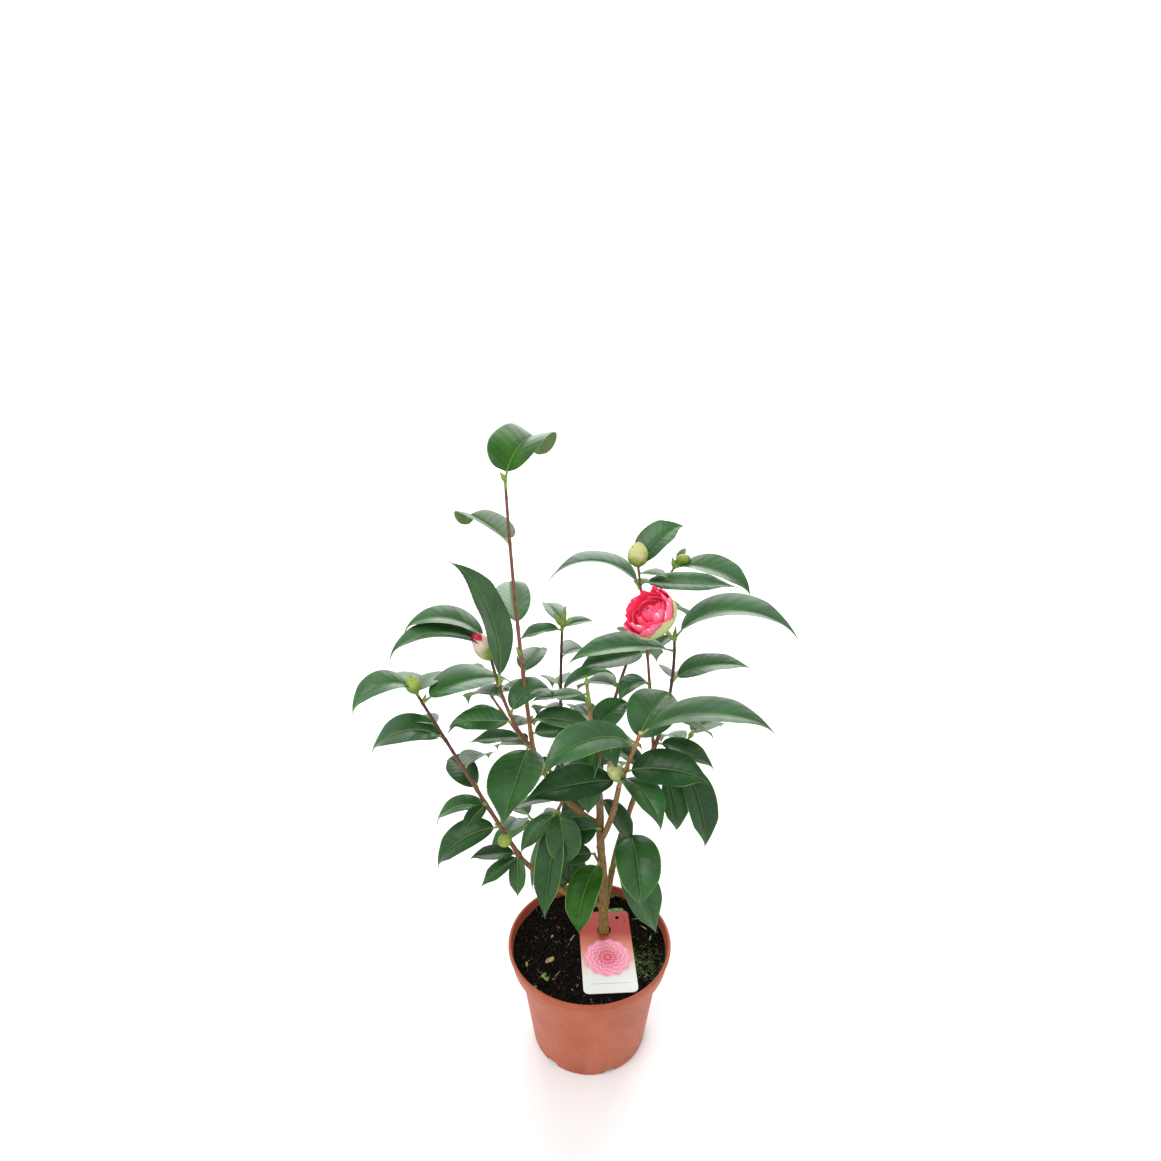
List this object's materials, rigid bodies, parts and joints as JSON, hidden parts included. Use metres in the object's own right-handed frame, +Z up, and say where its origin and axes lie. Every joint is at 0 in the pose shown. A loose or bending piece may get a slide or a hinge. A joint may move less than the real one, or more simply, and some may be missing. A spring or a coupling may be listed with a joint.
{
  "type": "potted camellia shrub",
  "caption": "Young open camellia shrub with glossy leaves, buds and one double bloom, standing in a round nursery pot.",
  "frame": {"origin": "centre of the pot's flat underside", "axes": "+Z up, +X to the plant's right as pictured, +Y to its back"},
  "size_m": [0.3563, 0.2567, 0.5744],
  "materials": {
    "pot_plastic": "satin moulded terracotta plastic",
    "peat": "rough dark peat compost",
    "tag_card": "smooth printed plastic card",
    "bark": "fine grey-brown bark",
    "foliage": "glossy leathery leaves"
  },
  "bodies": {
    "root": {"pot": "pot_plastic", "soil": "peat", "tag": "tag_card", "trunk": "bark", "right_bough": "bark", "back_bough": "bark", "outer_bough": "bark", "left_bough": "bark", "front_bough": "bark", "leader_shoot": "foliage", "left_shoot": "foliage", "outer_shoot": "foliage", "back_shoot": "foliage", "centre_shoot": "foliage", "long_shoot": "foliage", "front_shoot": "foliage", "flower_shoot": "foliage", "bud_shoot": "foliage", "low_front_spray": "foliage", "mid_front_spray": "foliage", "low_right_spray": "foliage", "mid_right_spray": "foliage", "hanging_spray": "foliage", "back_left_spray": "foliage", "back_right_spray": "foliage", "back_low_spray": "foliage", "back_mid_spray": "foliage"}
  },
  "joints": []
}
